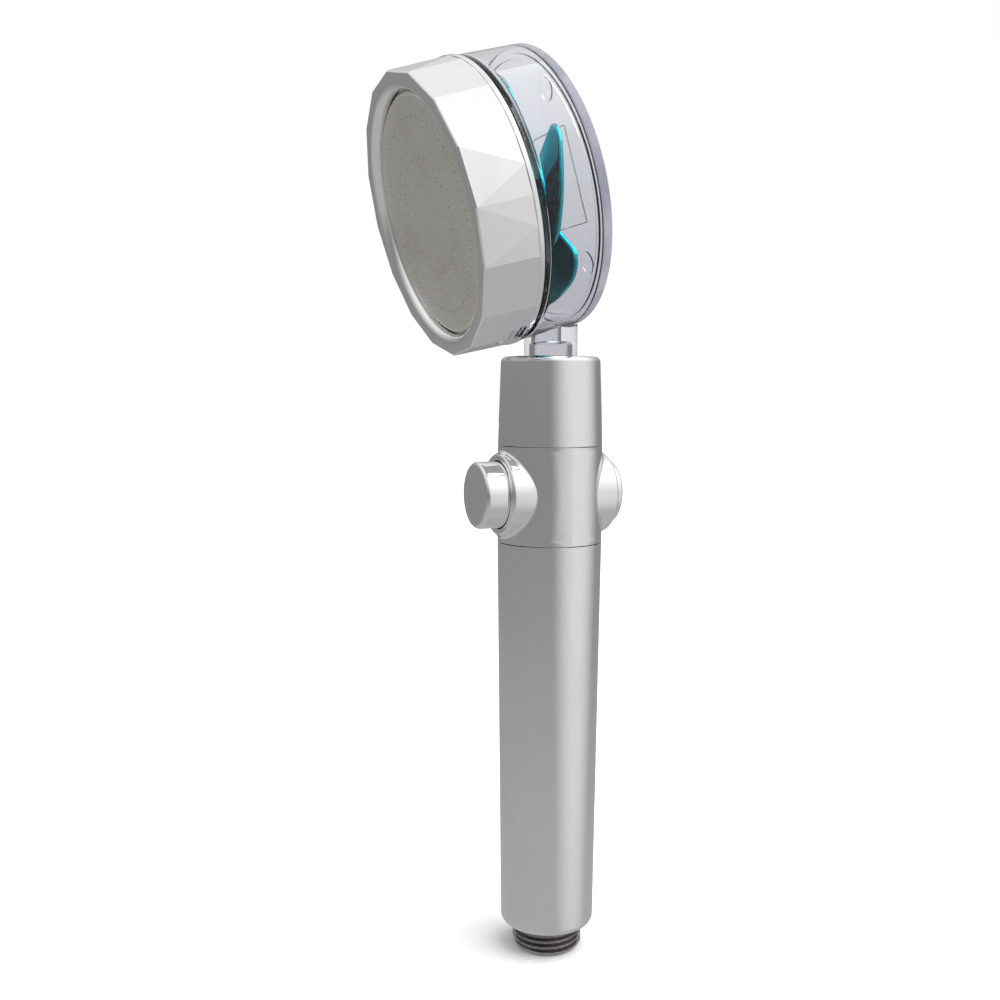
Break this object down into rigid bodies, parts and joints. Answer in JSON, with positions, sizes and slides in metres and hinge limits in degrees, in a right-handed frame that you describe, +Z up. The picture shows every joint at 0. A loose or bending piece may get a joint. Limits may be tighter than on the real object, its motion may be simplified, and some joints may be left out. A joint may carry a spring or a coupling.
{
  "type": "handheld shower head",
  "caption": "Handheld shower head with a faceted ring around a fine-hole spray plate, a clear turbine chamber on a swivelling neck, and a push-through stop button in the handle.",
  "frame": {"origin": "centre of the lower end of the hose thread", "axes": "+Z up the handle's axis, -Y the side that the spray leaves from, +X to the right of someone facing the spray plate from the back"},
  "size_m": [0.0802, 0.0707, 0.2651],
  "materials": {
    "chrome": "bright chrome plate on moulded plastic",
    "nipple_metal": "dark bright nickel on brass",
    "satin_steel": "satin stainless sheet with fine holes",
    "steel": "plain stainless",
    "steel_mesh": "perforated stainless",
    "teal_plate": "teal metallic plate, bright",
    "clear_plastic": "clear polished plastic",
    "white_plastic": "white moulded plastic",
    "bearing_plastic": "natural bearing plastic",
    "filter_cotton": "wound white cotton filter",
    "seal_rubber": "black seal rubber",
    "silicone": "grey silicone"
  },
  "bodies": {
    "handle": {"hose_nipple": "nipple_metal", "nipple_seal": "seal_rubber", "inlet_strainer": "steel_mesh", "handle_tube": "chrome", "filter_core": "filter_cotton", "filter_lower_cap": "white_plastic", "filter_upper_cap": "white_plastic", "filter_seal": "seal_rubber", "tube_seal": "seal_rubber", "valve_body": "chrome", "swivel_collar": "chrome", "swivel_bush": "bearing_plastic", "thrust_washer": "bearing_plastic"},
    "stop_valve": {"valve_spool": "bearing_plastic", "spool_seals": "seal_rubber", "front_button": "chrome", "rear_button": "chrome"},
    "head": {"clear_chamber": "clear_plastic", "back_cover": "clear_plastic", "face_ring": "chrome", "spray_plate": "satin_steel", "plate_gasket": "silicone", "fan_support": "white_plastic", "fan_axle": "steel", "fan_washers": "bearing_plastic", "stem_clip": "steel", "stem_seals": "seal_rubber"},
    "fan": {"turbine_fan": "teal_plate"}
  },
  "joints": [
    {"name": "head_swivel", "type": "hinge", "parent": "handle", "child": "head", "pos_m": [0, 0, 0.1733], "axis": [0, 0, 1], "continuous": true},
    {"name": "stop_button", "type": "slide", "parent": "handle", "child": "stop_valve", "axis": [0, 1, 0], "range_m": [0, 0.0042]},
    {"name": "fan_spin", "type": "hinge", "parent": "head", "child": "fan", "pos_m": [0, -0.01516, 0.22385], "axis": [0, 0.9613, 0.2756], "continuous": true}
  ]
}
